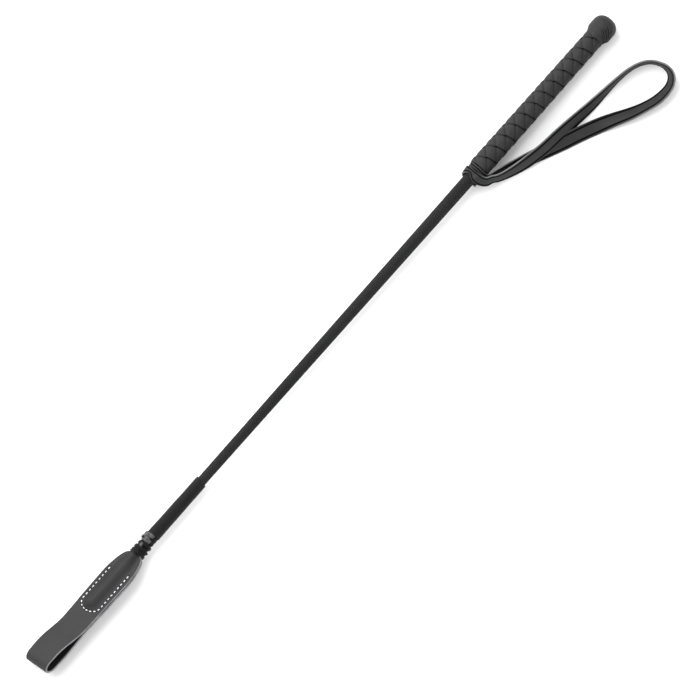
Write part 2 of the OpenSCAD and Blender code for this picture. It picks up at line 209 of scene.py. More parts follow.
class Look:
    """A material with a Principled shader and short calls for the nodes that feed it."""

    def __init__(self, name, roughness, sheen=0.0, specular=0.5):
        self.material = bpy.data.materials.new(name)
        self.material.use_nodes = True
        self.tree = self.material.node_tree
        self.shader = self.tree.nodes["Principled BSDF"]
        self.shader.inputs["Roughness"].default_value = roughness
        self.shader.inputs["Sheen Weight"].default_value = sheen
        self.shader.inputs["Sheen Roughness"].default_value = 0.45
        self.shader.inputs["Specular IOR Level"].default_value = specular
        self.place = self.node("ShaderNodeTexCoord").outputs["Object"]

    def node(self, kind, **values):
        made = self.tree.nodes.new(kind)
        for key, value in values.items():
            setattr(made, key, value)
        return made

    def wire(self, source, target):
        self.tree.links.new(source, target)

    def noise(self, size, detail, stretch=None):
        """Noise whose features are about size metres across."""
        made = self.node("ShaderNodeTexNoise")
        made.inputs["Scale"].default_value = 1 / size
        made.inputs["Detail"].default_value = detail
        self.wire(self.stretched(stretch), made.inputs["Vector"])
        return made.outputs["Fac"]

    def cells(self, size, feature):
        made = self.node("ShaderNodeTexVoronoi", feature=feature)
        made.inputs["Scale"].default_value = 1 / size
        self.wire(self.place, made.inputs["Vector"])
        return made.outputs["Distance"]

    def stretched(self, stretch):
        if stretch is None:
            return self.place
        made = self.node("ShaderNodeMapping")
        made.inputs["Scale"].default_value = stretch
        self.wire(self.place, made.inputs["Vector"])
        return made.outputs["Vector"]

    def ramp(self, value, stops):
        made = self.node("ShaderNodeValToRGB")
        ramp = made.color_ramp
        while len(ramp.elements) < len(stops):
            ramp.elements.new(0.5)
        for element, (position, colour) in zip(ramp.elements, stops):
            element.position = position
            element.color = (*colour, 1)
        self.wire(value, made.inputs["Fac"])
        return made.outputs["Color"]

    def sum(self, *weighted):
        """Adds values, each times its weight."""
        total = None
        for value, weight in weighted:
            made = self.node("ShaderNodeMath", operation="MULTIPLY_ADD")
            self.wire(value, made.inputs[0])
            made.inputs[1].default_value = weight
            if total is not None:
                self.wire(total, made.inputs[2])
            else:
                made.inputs[2].default_value = 0
            total = made.outputs[0]
        return total

    def blend(self, factor, first, second):
        made = self.node("ShaderNodeMix", data_type="RGBA")
        self.wire(factor, made.inputs["Factor"])
        for socket, colour in ((made.inputs[6], first), (made.inputs[7], second)):
            if isinstance(colour, tuple):
                socket.default_value = (*colour, 1)
            else:
                self.wire(colour, socket)
        return made.outputs[2]

    def attribute(self, name):
        return self.node("ShaderNodeAttribute", attribute_name=name).outputs["Fac"]

    def colour(self, source):
        self.wire(source, self.shader.inputs["Base Color"])

    def rough(self, source, low, high):
        made = self.node("ShaderNodeMapRange")
        made.inputs["To Min"].default_value = low
        made.inputs["To Max"].default_value = high
        self.wire(source, made.inputs["Value"])
        self.wire(made.outputs["Result"], self.shader.inputs["Roughness"])

    def bump(self, height, depth):
        made = self.node("ShaderNodeBump")
        made.inputs["Distance"].default_value = depth
        self.wire(height, made.inputs["Height"])
        self.wire(made.outputs["Normal"], self.shader.inputs["Normal"])


def grey(level, warmth=0.0):
    return (level * (1 + warmth), level, level * (1.04 - warmth))


def leather(name, level, grain, depth, roughness, wrinkling=0.5):
    """Grained leather: pebbles, pores, wrinkles and cloudy colour, darkened wherever "mark" is high; mark
    mostly carries painted shade.
    """
    look = Look(name, roughness, specular=0.26)
    pebbles = look.cells(grain, "SMOOTH_F1")
    creases = look.cells(grain * 2.6, "DISTANCE_TO_EDGE")
    pores = look.noise(grain * 0.45, 2)
    wrinkles = look.noise(grain * 3.2, 6, (1, 2.6, 2.6))
    clouds = look.noise(16 * MM, 3)
    tone = look.sum((clouds, 0.7), (wrinkles, 0.45 * wrinkling), (pores, 0.45 * (1 - wrinkling)))
    dyed = look.ramp(tone, [(0.38, grey(level * 0.78)), (0.58, grey(level)), (0.78, grey(level * 1.28))])
    worn = look.sum((pebbles, -0.5), (wrinkles, 0.9 * wrinkling), (clouds, 0.9 * (1 - wrinkling)))
    worn_share = look.ramp(worn, [(0.22, (0, 0, 0)), (0.62, (0.5, 0.5, 0.5))])
    rubbed = look.blend(worn_share, dyed, grey(level * 1.55))
    # Painted shade: mark darkens the colour to a tenth, in seams, folds, holes and beside the keeper's
    # ridge.
    look.colour(look.blend(look.attribute("mark"), rubbed, grey(level * 0.1)))
    dullness = look.sum((pores, 0.6), (clouds, 0.5), (look.attribute("mark"), 2))
    look.rough(dullness, roughness - 0.1, roughness + 0.14)
    look.bump(look.sum((pebbles, -0.8), (creases, 0.35), (pores, 0.25), (wrinkles, wrinkling)), depth)
    return look.material


def painted_seam_shade(name):
    """Painted shade for a seam, a gap or a pressed line: dull black with no shine, standing in for the
    shade down in it.
    """
    look = Look(name, 1.0, specular=0.0)
    specks = look.noise(0.5 * MM, 4)
    look.colour(look.ramp(specks, [(0.4, grey(0.0015)), (0.75, grey(0.006))]))
    look.bump(specks, 0.04 * MM)
    return look.material


def cut_edge(name, level):
    """The cut edge of leather: pale fibres in thin layers, darkened in patches by edge dye."""
    look = Look(name, 0.75, specular=0.25)
    fibres = look.noise(0.35 * MM, 5, (0.25, 1.5, 1.5))
    patches = look.noise(7 * MM, 3)
    tone = look.sum((fibres, 0.6), (patches, 0.6))
    stops = [(0.4, grey(level * 0.62)), (0.6, grey(level)), (0.8, grey(level * 1.45))]
    look.colour(look.ramp(tone, stops))
    look.bump(fibres, 0.12 * MM)
    return look.material


def thread(name, level, roughness=0.62, sheen=0.15, warmth=0.0):
    """Waxed thread: fibres along it, slubs and uneven dye, with painted shade wherever "mark" is high."""
    look = Look(name, roughness, sheen, specular=0.13)
    fibres = look.noise(0.16 * MM, 4, (1, 0.35, 0.35))
    slubs = look.noise(2.2 * MM, 3)
    tone = look.sum((fibres, 0.65), (slubs, 0.5))
    stops = [(at, grey(level * share, warmth)) for at, share in ((0.36, 0.6), (0.56, 1), (0.8, 1.5))]
    # Painted shade: mark darkens the colour to a fifth.
    look.colour(look.blend(look.attribute("mark"), look.ramp(tone, stops), grey(level * 0.2, warmth)))
    look.rough(fibres, roughness - 0.12, roughness + 0.15)
    look.bump(look.sum((fibres, 0.8), (slubs, 0.2)), 0.08 * MM)
    return look.material


def turned_wood(name):
    look = Look(name, 0.55)
    rings = look.noise(1.6 * MM, 5, (0.08, 1, 1))
    pores = look.noise(0.3 * MM, 2, (0.2, 1, 1))
    look.colour(look.ramp(rings, [(0.35, (0.3, 0.17, 0.08)), (0.65, (0.56, 0.38, 0.2))]))
    look.bump(look.sum((rings, 0.5), (pores, 0.5)), 0.1 * MM)
    return look.material


def ground_fibreglass(name):
    look = Look(name, 0.35)
    fibres = look.noise(0.4 * MM, 4, (0.04, 1, 1))
    look.colour(look.ramp(fibres, [(0.35, (0.5, 0.48, 0.36)), (0.65, (0.8, 0.78, 0.66))]))
    look.rough(fibres, 0.28, 0.5)
    look.bump(fibres, 0.05 * MM)
    return look.material


def moulded_rubber(name):
    look = Look(name, 0.6)
    specks = look.noise(0.25 * MM, 3)
    look.colour(look.ramp(specks, [(0.4, grey(0.02)), (0.7, grey(0.045))]))
    look.bump(specks, 0.06 * MM)
    return look.material


def felt(name):
    look = Look(name, 0.95, sheen=0.4)
    fibres = look.noise(0.3 * MM, 6)
    tufts = look.noise(1.8 * MM, 4)
    tone = look.sum((fibres, 0.6), (tufts, 0.5))
    look.colour(look.ramp(tone, [(0.4, grey(0.12)), (0.7, grey(0.3))]))
    look.bump(look.sum((fibres, 0.7), (tufts, 0.5)), 0.3 * MM)
    return look.material


GRIP_LEATHER = leather("grip_leather", 0.0135, 0.75 * MM, 0.42 * MM, 0.52)
# Painted shade, used in the plaits' seams, under the grip's gaps and in the strap's creased lines.
SEAM_SHADE = painted_seam_shade("painted_seam_shade")
STRAP_LEATHER = leather("strap_leather", 0.0135, 0.45 * MM, 0.06 * MM, 0.56, wrinkling=0.1)
STRAP_EDGE = cut_edge("strap_edge", 0.12)
KEEPER_LEATHER = leather("keeper_leather", 0.0125, 0.45 * MM, 0.05 * MM, 0.52, wrinkling=0.05)
KEEPER_EDGE = cut_edge("keeper_edge", 0.17)
LACE_LEATHER = leather("lace_leather", 0.05, 0.9 * MM, 0.25 * MM, 0.26)
BRAID_THREAD = thread("braid_thread", 0.014, roughness=0.5, sheen=0.0)
SLEEVE_THREAD = thread("sleeve_thread", 0.011, roughness=0.55, sheen=0.0)
WHIP_THREAD = thread("whip_thread", 0.006, roughness=0.42, sheen=0.0)
WHITE_THREAD = thread("white_thread", 0.7, roughness=0.55, warmth=0.01)
INNER_THREAD = thread("inner_thread", 0.26, warmth=0.08)
UNDERLAY = thread("underlay", 0.3, warmth=0.16)


# ---- Plaits --------------------------------------------------------------------------------


class Plait:
    """Flat strands wound both ways round the shaft, each passing over one and under the next."""

    def __init__(self, start, end, count, pitch, outer, thickness, wave, fill, drop, turned_in, seam,
                 sag, faint, dark_columns):
        self.start = start                # station where the plait begins
        self.end = end
        self.count = count                # strands each way
        self.pitch = pitch                # distance along the shaft between neighbours
        self.outer = outer                # outer radius as a function of station
        self.thickness = thickness
        self.wave = wave                  # how far a strand rises and falls
        self.fill = fill                  # share of its lane that a strand fills
        self.drop = drop                  # how far the strand's edges turn down
        self.turned_in = turned_in        # radius of the turned-in ends
        self.seam = seam                  # width of the painted shade line along an edge
        self.sag = sag                    # shift along the shaft from uneven tension, a function of turn
        self.faint = faint                # share of depth and painted seam shade that the fainter seams keep
        self.dark_columns = dark_columns  # how many columns of faces at an edge take the painted seam shade

    def strand(self, index, way, steps, across):
        """Rings of one strand, and how much painted shade each point gets. way is 1 or -1 for the direction
        of winding.
        """
        margin = self.pitch
        length = self.end - self.start + 2 * margin
        rows = int(2 * length / self.pitch * steps)
        along = np.linspace(-margin, length - margin, rows)
        angle = 2 * np.pi / self.count * (index - way * along / self.pitch)
        crossing = index - way * 2 * along / self.pitch
        rise = np.tanh(2.2 * way * np.cos(np.pi * (crossing + index))) / math.tanh(2.2)
        side = np.concatenate([across, across[::-1][1:-1]])
        upper = np.concatenate([np.ones(len(across)), -np.ones(len(across) - 2)])
        face = upper * self.thickness / 2 * np.sqrt(np.clip(1 - np.abs(side) ** 6, 0, 1))
        face = face - self.drop * (self.faint if way > 0 else 1) * np.abs(side) ** 2.6
        lane = side * self.fill / 2
        station = self.start + along[:, None] + way * self.pitch * lane[None] / 2
        turn = angle[:, None] + np.pi / self.count * lane[None]
        middle = self.outer(station) - self.thickness / 2 - self.wave
        radius = middle + self.wave * rise[:, None] + face[None]
        station, radius = self.turn_in(station + self.sag(turn), radius)
        # Painted shade: a dark line along each strand's edge, and a dark band where a strand dives under
        # its neighbour's edge.
        edge = bell((1 - np.abs(side)[None]) * self.pitch / 2, self.seam)
        beside = bell(rise[:, None] + 0.1, 0.4) * (1 if way < 0 else self.faint)
        mark = beside + edge * (1 if way > 0 else self.faint)
        return about_shaft(station, radius, turn), np.clip(np.broadcast_to(mark, station.shape), 0, 1)

    def edge_slots(self, count, way):
        """Material slots round a strand: the edges of one way's strands take the painted seam shade
        material.
        """
        deep = self.dark_columns if way > 0 else 0
        slots = np.zeros(2 * count - 2, int)
        slots[:deep] = 1
        slots[count - 1 - deep:count - 1] = 1
        return slots

    def turn_in(self, station, radius):
        """Turns whatever passes an end of the plait inward, over a small rounded edge."""
        bend = self.turned_in
        for edge, way in ((self.start, 1), (self.end, -1)):
            past = np.maximum(0, bend - way * (station - edge))
            turn = np.minimum(past / bend, np.pi / 2)
            radius = radius - bend * (1 - np.cos(turn)) - np.clip(past - bend * np.pi / 2, 0, 2.2 * bend)
            station = np.where(past > 0, edge + way * bend * (1 - np.sin(turn)), station)
        return station, radius

    def make(self, name, material, steps, across):
        """One piece for each direction of winding."""
        pieces = []
        for label, way in (("left", 1), ("right", -1)):
            shape = Shape()
            marks = []
            for index in range(self.count):
                rings, mark = self.strand(index, way, steps, np.asarray(across))
                shape.sweep(rings, self.edge_slots(len(across), way))
                marks.append(mark.ravel())
            attributes = {"mark": np.concatenate(marks)}
            pieces.append(shape.make(f"{name}_{label}", [material, SEAM_SHADE], attributes))
        return pieces


LINER_T = 0.2 * MM


def liner(name, material, start, end, radius, thickness):
    """The closed tube that a plait is laid on, which closes the gaps between the strands."""
    shape = Shape()
    stations = np.linspace(start, end, 60)
    turn = np.linspace(0, 2 * np.pi, 48, endpoint=False)
    outer = np.stack([stations, radius(stations)], 1)
    inner = np.stack([stations, radius(stations) - thickness], 1)
    profile = np.concatenate([outer, inner[::-1]])
    shape.loop(about_shaft(profile[:, :1], profile[:, 1:], turn[None]))
    return shape.make(name, [material])


def grip_radius(x):
    return mix(GRIP_R, GRIP_TOP_R, np.clip((x - GRIP_END) / (GRIP_TOP - GRIP_END), 0, 1))


def shaft_radius(x):
    slope = (SHAFT_R - SHAFT_TIP_R) / (COLLAR_END - 2 * MM - SLEEVE_TOP)
    return SHAFT_R + slope * np.minimum(0, x - COLLAR_END + 2 * MM)


def grip_sag(turn):
    """The plait is pulled along on one side, so its seams run steeper one way and flatter the other."""
    return 2.5 * MM * (np.sin(turn + 0.5) + 0.25 * np.sin(2 * turn + 1.0)) + 1.6 * MM


def make_grip():
    plait = Plait(
        start=GRIP_END + 0.3 * MM, end=PLAIT_TOP, count=3, pitch=11.8 * MM, outer=grip_radius,
        thickness=1.2 * MM, wave=0.55 * MM, fill=0.985, drop=0.5 * MM, turned_in=0.9 * MM, seam=0.5 * MM,
        sag=grip_sag, faint=0.25, dark_columns=2,
    )
    across = [-1, -0.96, -0.9, -0.8, -0.6, -0.3, 0, 0.3, 0.6, 0.8, 0.9, 0.96, 1]
    left, right = plait.make("grip_plait", GRIP_LEATHER, 14, across)
    # The liner takes the painted seam shade, so the gaps between the strands show as shade.
    base = liner("grip_liner", SEAM_SHADE, GRIP_END - 0.2 * MM, GRIP_TOP + 1.4 * MM,
                 lambda x: grip_radius(x) - 0.95 * MM, LINER_T)
    for piece in (left, right, base):
        finish_piece(piece, "crop", "grip_leather", "grip_plait")


def make_braid():
    top = GRIP_END + 2 * MM
    plait = Plait(
        start=SLEEVE_TOP - 4 * MM, end=top, count=10, pitch=2.4 * MM,
        outer=lambda x: shaft_radius(x) - 0.06 * MM, thickness=0.4 * MM, wave=0.18 * MM, fill=0.95,
        drop=0.2 * MM, turned_in=0.3 * MM, seam=0.22 * MM, sag=lambda turn: 0 * turn, faint=1,
        dark_columns=0,
    )
    # The braid's strands also get painted shade along their edges and crossings, through mark.
    left, right = plait.make("shaft_braid", BRAID_THREAD, 5, [-1, -0.6, 0.6, 1])
    base = liner("braid_liner", BRAID_THREAD, KNOT_END, top + 10 * MM,
                 lambda x: shaft_radius(x) - 0.5 * MM, LINER_T)
    for piece in (left, right, base):
        finish_piece(piece, "crop", "braid", "braided_sheath")


# ---- Knob ----------------------------------------------------------------------------------


def knob_profile():
    """Stations and radii of the knob's outer surface, from inside the plait to the flat end."""
    flat = 2.2 * MM
    shoulder = KNOB_R - flat
    shoulder_x = KNOB_END - shoulder
    belly = PLAIT_TOP + 6 * MM
    flare = np.linspace(0, 1, 26)
    turn = np.linspace(0, np.pi / 2, 40)[1:]
    centre = np.linspace(1, 0.02, 10)[1:]
    x = np.concatenate([
        [GRIP_TOP - 1.5 * MM], mix(PLAIT_TOP, belly, flare), np.linspace(belly, shoulder_x, 26)[1:],
        shoulder_x + shoulder * np.sin(turn), np.full(len(centre), KNOB_END),
    ])
    radius = np.concatenate([
        [GRIP_TOP_R - 1.7 * MM], mix(GRIP_TOP_R + 0.1 * MM, KNOB_R, ease(flare)), np.full(25, KNOB_R),
        flat + shoulder * np.cos(turn), flat * centre,
    ])
    return x, radius


# The long folds on one side of the ball. For each: its station from the flat end where it starts, how far
# it slides along as it runs down the side, its depth (all in millimetres), and the turns, in radians from
# the top, where it begins and ends.
KNOB_FOLDS = (
    (-14.6, 3.4, 0.4, 0.1, 1.1), (-12.4, 4.6, 0.6, -0.1, 1.2), (-9.8, 5.2, 0.75, 0.1, 1.35),
    (-6.6, 6.6, 0.9, 0.15, 1.5), (-4.0, 6.0, 0.5, 0.5, 1.7),
)


def knob_creases(x, turn):
    """Depth of the gathers: fine ones round the neck, and long curved folds on one side of the ball."""
    along = np.clip((x - GRIP_TOP) / (KNOB_END - GRIP_TOP), 0, 1)
    wander = 0.2 * np.sin(7 * along + 1.3)
    depth = 0.07 * MM * bell(along - 0.2, 0.24) * (0.5 + 0.5 * np.sin(19 * (turn + wander)))
    side = np.clip(np.pi - (turn + np.pi) % (2 * np.pi), 0, np.pi)
    for start, slide, deepest, first, last in KNOB_FOLDS:
        fold = KNOB_END + (start - slide * np.clip(side, 0, 2) ** 1.5) * MM
        reach = ease((side - first) / 0.5) * ease((last + 0.4 - side) / 0.6)
        depth = depth + deepest * MM * bell(x - fold, 0.42 * MM) * reach
        depth = depth - 0.4 * deepest * MM * bell(x - fold - 1.2 * MM, 0.8 * MM) * reach
    return depth


def make_knob():
    x, radius = knob_profile()
    turn = np.linspace(0, 2 * np.pi, 240, endpoint=False)
    grid_x, grid_turn = np.meshgrid(x, turn, indexing="ij")
    fade = np.clip(radius / (5 * MM), 0, 1)[:, None]
    depth = np.maximum(knob_creases(grid_x, grid_turn), -0.2 * MM) * fade
    # Painted shade in the deeper folds.
    mark = np.clip((depth - 0.1 * MM) / (0.35 * MM), 0, 1)
    shape = Shape()
    shape.sweep(about_shaft(grid_x, radius[:, None] - depth - 0.1 * MM * fade, grid_turn))
    piece = shape.make("knob_cover_leather", [GRIP_LEATHER], {"mark": mark})
    finish_piece(piece, "crop", "grip_leather", "knob_cover")


# ---- Windings ------------------------------------------------------------------------------


def wound(shape, start, end, outer, thread_radius, uneven):
    """One layer of thread wound side by side between two stations, out to an outer radius."""
    width = end - start - 2 * thread_radius
    turns = width / (2 * thread_radius * 0.96)
    along = np.linspace(0, 1, int(turns * 36))
    turn = 2 * np.pi * turns * along
    ripple = uneven * thread_radius * (np.sin(5.3 * turn) + np.sin(0.73 * turn))
    x = start + thread_radius + along * width
    shape.sweep(thread_rings(about_shaft(x, outer - thread_radius + ripple, turn), thread_radius))


def make_whippings():
    """Thick waxed thread wound in one full layer, with shorter layers laid over shares of it."""
    thread_radius = 0.52 * MM
    core_depth = 0.8 * MM               # from the full layer's outside to the plain core under it
    over = 0.7 * MM                     # how far the shorter layers stand out beyond it
    for name, node, end, top, spans in (
        ("upper", "upper_whipping", UPPER_END - 0.7 * MM, UPPER_TOP, [(0.1, 0.9)]),
        ("lower", "lower_whipping", NECK_X, LOWER_TOP, [(0.04, 0.52), (0.6, 0.97)]),
    ):
        base = radius_of(node) - 0.15 * MM
        shape = Shape()
        wound(shape, end, top, base, thread_radius, uneven=0.12)
        for first, last in spans:
            wound(shape, mix(end, top, first), mix(end, top, last), base + over, thread_radius * 0.9,
                  uneven=0.14)
        stations = np.array([end + 0.1 * MM, top + 0.8 * MM])
        turn = np.linspace(0, 2 * np.pi, 40, endpoint=False)
        shape.sweep(about_shaft(stations[:, None], np.full((2, 1), base - core_depth), turn[None]))
        piece = shape.make(f"{name}_whipping_thread", [WHIP_THREAD])
        finish_piece(piece, "crop", "black_thread", node)


def make_sleeve():
    """Cord wound in close ridges. Its upper end is cut on a slant."""
    ridge_pitch = 1.15 * MM
    corner = 0.6 * MM
    turn = np.linspace(0, 2 * np.pi, 64, endpoint=False)
    rows = np.arange(0, SLEEVE_TOP - SLEEVE_END, ridge_pitch / 7)
    slant = 1.2 * MM * np.cos(turn - 2.2)[None]
    station = SLEEVE_END + rows[:, None] + slant * ease((rows / rows[-1])[:, None] * 2 - 1)
    station = np.minimum(station, SLEEVE_TOP + 1.2 * MM)
    phase = 2 * np.pi * rows[:, None] / ridge_pitch + turn[None]
    outer = mix(5.75 * MM, 5.4 * MM, rows / rows[-1])[:, None]
    lump = 0.05 * MM * np.sin(rows / (3.7 * MM))[:, None]
    ends = np.minimum(rows, rows[-1] - rows)[:, None]
    to_end = 1 - np.clip(ends / corner, 0, 1)
    rounded = 0.5 * MM * (1 - np.sqrt(np.clip(1 - to_end ** 2, 0, 1)))
    groove = 1 - np.abs(np.sin(phase / 2))
    radius = outer + lump - rounded - 0.42 * MM * groove
    inner = shaft_radius(station[[0, -1]]) - 0.1 * MM
    rings = np.concatenate([
        about_shaft(station[:1], inner[:1], turn[None]), about_shaft(station, radius, turn[None]),
        about_shaft(station[-1:], inner[1:], turn[None]),
    ])
    shape = Shape()
    shape.loop(rings)
    none = np.zeros((1, len(turn)))
    # The grooves between the ridges get painted shade through mark.
    piece = shape.make("tip_sleeve_cord", [SLEEVE_THREAD], {"mark": np.concatenate([none, groove, none])})
    finish_piece(piece, "crop", "sleeve_thread", "tip_sleeve")


def flat_lace(shape, path, outward_way, width, thickness):
    """A soft flat lace along a path, with rounded edges."""
    tangent = unit(np.gradient(path, axis=0))
    outward_way = unit(outward_way - np.sum(outward_way * tangent, 1, keepdims=True) * tangent)
    side = np.cross(tangent, outward_way)
    turn = np.linspace(0, 2 * np.pi, 14, endpoint=False)
    squash = np.sign(np.cos(turn)) * np.abs(np.cos(turn)) ** 0.6
    rise = np.sign(np.sin(turn)) * np.abs(np.sin(turn)) ** 0.8
    width = np.broadcast_to(width, len(path))[:, None, None]
    shape.sweep(path[:, None] + side[:, None] * squash[None, :, None] * width / 2
                + outward_way[:, None] * rise[None, :, None] * thickness / 2)


def lace_band(shape, start, end, station, radius, width, thickness, lean):
    """A band of lace that lies round the shaft between two turns, with its ends tucked in."""
    turn = np.linspace(start, end, 60)
    t = np.linspace(-1, 1, 60)
    tucked = ease((np.abs(t) - 0.72) / 0.28)
    path = about_shaft(station + lean * t, radius - 1.3 * MM * tucked, turn)
    out = about_shaft(0, 1, turn) - about_shaft(0, 0, turn)
    tilt = np.array([0.25, 0, 0]) * np.sin(2.2 * turn)[:, None]
    flat_lace(shape, path, out + tilt, width * (1 + 0.12 * np.sin(5 * turn)), thickness)


# The knot's bands of lace. For each: the turns in radians where it starts and ends, then in millimetres
# its station from the knot's middle, radius, width, thickness, and how far its ends lean along the shaft.
KNOT_BANDS = (
    (-0.62, 2.3, -2.1, 5.35, 3.9, 1.3, 0.5), (-0.5, 2.1, 2.1, 5.4, 3.7, 1.3, -0.5),
    (0.0, 1.5, 0.4, 6.3, 3.2, 1.4, 2.4), (0.35, 1.25, -0.3, 7.0, 2.6, 1.3, -1.9),
)


def make_knot():
    """Lace drawn round the upper side of the shaft over a thread winding, and tied in a flat knot."""
    middle = (KNOT_END + KNOT_TOP) / 2
    winding = Shape()
    wound(winding, KNOT_END - 0.3 * MM, KNOT_TOP + 0.3 * MM, 5.3 * MM, 0.5 * MM, uneven=0.1)
    under = winding.make("knot_winding", [WHIP_THREAD])
    finish_piece(under, "crop", "black_thread", "lace_knot")
    shape = Shape()
    for start, end, *lengths in KNOT_BANDS:
        shift, radius, width, thickness, lean = (length * MM for length in lengths)
        lace_band(shape, start, end, middle + shift, radius, width, thickness, lean)
    piece = shape.make("lace_knot_leather", [LACE_LEATHER])
    finish_piece(piece, "crop", "lace", "lace_knot")


def make_lace_tail():
    """The lace's loose end, which runs down from the knot to the lower whipping."""
    tail = Shape()
    t = np.linspace(0, 1, 24)
    station = mix(UPPER_END + 1.7 * MM, LOWER_TOP - 1.6 * MM, t)
    path = about_shaft(station, (5.2 + 1.1 * np.sin(np.pi * t)) * MM, 0.42 - 0.2 * t)
    out = about_shaft(0, 1, 0.3) - about_shaft(0, 0, 0.3)
    flat_lace(tail, path, np.repeat(out[None], len(t), 0), 2.3 * MM, 1 * MM)
    finish_piece(tail.make("lace_tail", [LACE_LEATHER]), "crop", "lace")


# ---- Keeper --------------------------------------------------------------------------------

KEEPER_ROLL = math.radians(35)
KEEPER_LEN = NECK_X - FOLD_X
LEAF = 1.8 * MM                         # thickness of one leaf
LEAF_MIDDLE = LEAF / 2 + 0.05 * MM      # from the keeper's middle plane to a sewn leaf's middle
FLAP_OPEN = 72 * MM                     # where the leaves begin to part
FLAP_WIDE = 104 * MM                    # where they are as far apart as at the fold
FOLD_R = 5.3 * MM
FOLD_LIFT = 1.6 * MM
NECK_HALF = 6.4 * MM                    # half of the keeper's width at its neck
SEWN_W = 10.8 * MM                      # from the middle line to a row of stitches
SEWN_BEND = 52 * MM                     # where the rows begin to bend towards each other
SEWN_REACH = 7.3 * MM                   # how far the bend goes past that
SEWN_STARTS = (18.8 * MM, 16.6 * MM)    # where the two rows of stitches start
SEWN_END = 62 * MM
STITCHES = 25
HINGE_U = 63 * MM                       # middle of the bend between crop and flap


def keeper_point(u, w, h):
    """From the keeper's own frame: u from the neck to the fold, w across, h through its thickness."""
    u, w, h = np.broadcast_arrays(u, w, h)
    y = AXIS_Y + w * math.cos(KEEPER_ROLL) + h * math.sin(KEEPER_ROLL)
    z = AXIS_Z - w * math.sin(KEEPER_ROLL) + h * math.cos(KEEPER_ROLL)
    return np.stack([NECK_X - u, y, z], axis=-1)


def keeper_half_width(u):
    shoulder = 26 * MM
    rounded = NECK_HALF + 8.2 * MM * np.sqrt(np.clip(1 - (1 - u / shoulder) ** 2, 0, 1))
    straight = mix(14.6 * MM, 12.8 * MM, (u - shoulder) / (KEEPER_LEN - shoulder))
    neck = NECK_HALF + 0.32 * np.minimum(u, 0)
    return np.where(u < 0, neck, np.where(u < shoulder, rounded, straight))


def ridge(u, w):
    """Height that the leather stands up over the rod's tip."""
    height = 2.95 * MM
    end = ease((60.5 * MM - u) / (9 * MM))
    half = mix(NECK_HALF, 9.4 * MM, ease(u / (16 * MM)))
    return height * end * 0.5 * (1 + np.cos(np.pi * np.clip(w / half, -1, 1)))


def ridge_slope(u, w):
    """How steeply the ridge's sides and end stand. Painted shade is darkest there, beside the crest."""
    step = 0.2 * MM
    flank = ridge(u, w + step) - ridge(u, w - step)
    end = ridge(u + step, w) - ridge(u - step, w)
    return np.hypot(flank, end) / (2 * step)


def seam_distance(u, w):
    """Distance from the U of stitches."""
    straight = np.abs(np.abs(w) - SEWN_W)
    bend = np.abs(np.hypot((u - SEWN_BEND) * SEWN_W / SEWN_REACH, w) - SEWN_W)
    return np.where(u < SEWN_BEND, straight, bend)


def seam_places():
    """Each stitch's middle, direction and length: down one side, round the end and back up the other."""
    turn = np.linspace(0, np.pi, 61)
    path = np.stack([SEWN_BEND + SEWN_REACH * np.sin(turn), SEWN_W * np.cos(turn)], 1)
    path = np.concatenate([[(SEWN_STARTS[0], SEWN_W)], path, [(SEWN_STARTS[1], -SEWN_W)]])
    length = np.concatenate([[0], np.cumsum(np.hypot(*np.diff(path, axis=0).T))])
    pitch = length[-1] / STITCHES
    places = []
    for index in range(STITCHES):
        here = pitch * (index + 0.5 + np.array([0, -0.25, 0.25]))
        u = np.interp(here, length, path[:, 0])
        w = np.interp(here, length, path[:, 1])
        places.append((u[0], w[0], math.atan2(w[2] - w[1], u[2] - u[1]), pitch))
    return places


def needle_holes():
    """Both ends of every stitch."""
    holes = []
    for u, w, a, pitch in seam_places():
        for way in (-1, 1):
            reach = way * pitch * 0.4
            holes.append((u + reach * math.cos(a), w + reach * math.sin(a)))
    return holes


def leaf_height(u, w):
    """Middle surface of the upper leaf above the keeper's middle plane.

    It sinks in a channel under the stitches and puffs up a little on both sides of it.
    """
    swell = ease((u - FLAP_OPEN) / (FLAP_WIDE - FLAP_OPEN))
    open_half = mix(LEAF_MIDDLE, FOLD_R - LEAF / 2, swell)
    away = seam_distance(u, w)
    sewn = (u > SEWN_STARTS[1] - 2 * MM) & (u < SEWN_END + 2 * MM)
    channel = np.where(sewn, 0.22 * MM * bell(away, 0.8 * MM), 0)
    puff = 0.25 * MM * bell(away - 2.6 * MM, 1.5 * MM) * ease((66 * MM - u) / (10 * MM))
    return open_half + ridge(u, w) - channel + puff * ease((u - 12 * MM) / (12 * MM))


def keeper_path():
    """Places along one leaf, close together where it is sewn, and the last of them, before the fold."""
    last = KEEPER_LEN - FOLD_R - 3 * MM
    sewn = np.arange(-3.5 * MM, SEWN_END, 0.45 * MM)
    free = np.arange(SEWN_END, last, 1.3 * MM)
    return np.concatenate([sewn, free]), last


def keeper_middle(across):
    """Middle surface of the strip: up the lower leaf, round the fold and back along the upper leaf."""
    leaf, last = keeper_path()
    lift = FOLD_LIFT * ease((leaf - FLAP_OPEN) / (FLAP_WIDE - FLAP_OPEN))[:, None]
    width = keeper_half_width(leaf)[:, None] * across[None]
    u = np.repeat(leaf[:, None], len(across), 1)
    upper = np.stack([u, width, lift + leaf_height(u, width)], -1)
    lower = np.stack([u, width, lift - leaf_height(u, width)], -1)
    turn = np.linspace(-np.pi / 2, np.pi / 2, 26)[1:-1]
    nose_u = last + (KEEPER_LEN - LEAF / 2 - last) * np.cos(turn)
    nose_h = FOLD_LIFT + (FOLD_R - LEAF / 2) * np.sin(turn)
    nose_w = keeper_half_width(nose_u)[:, None] * across[None]
    nose = np.stack(np.broadcast_arrays(nose_u[:, None], nose_w, nose_h[:, None]), -1)
    return np.concatenate([lower, nose, upper[::-1]])


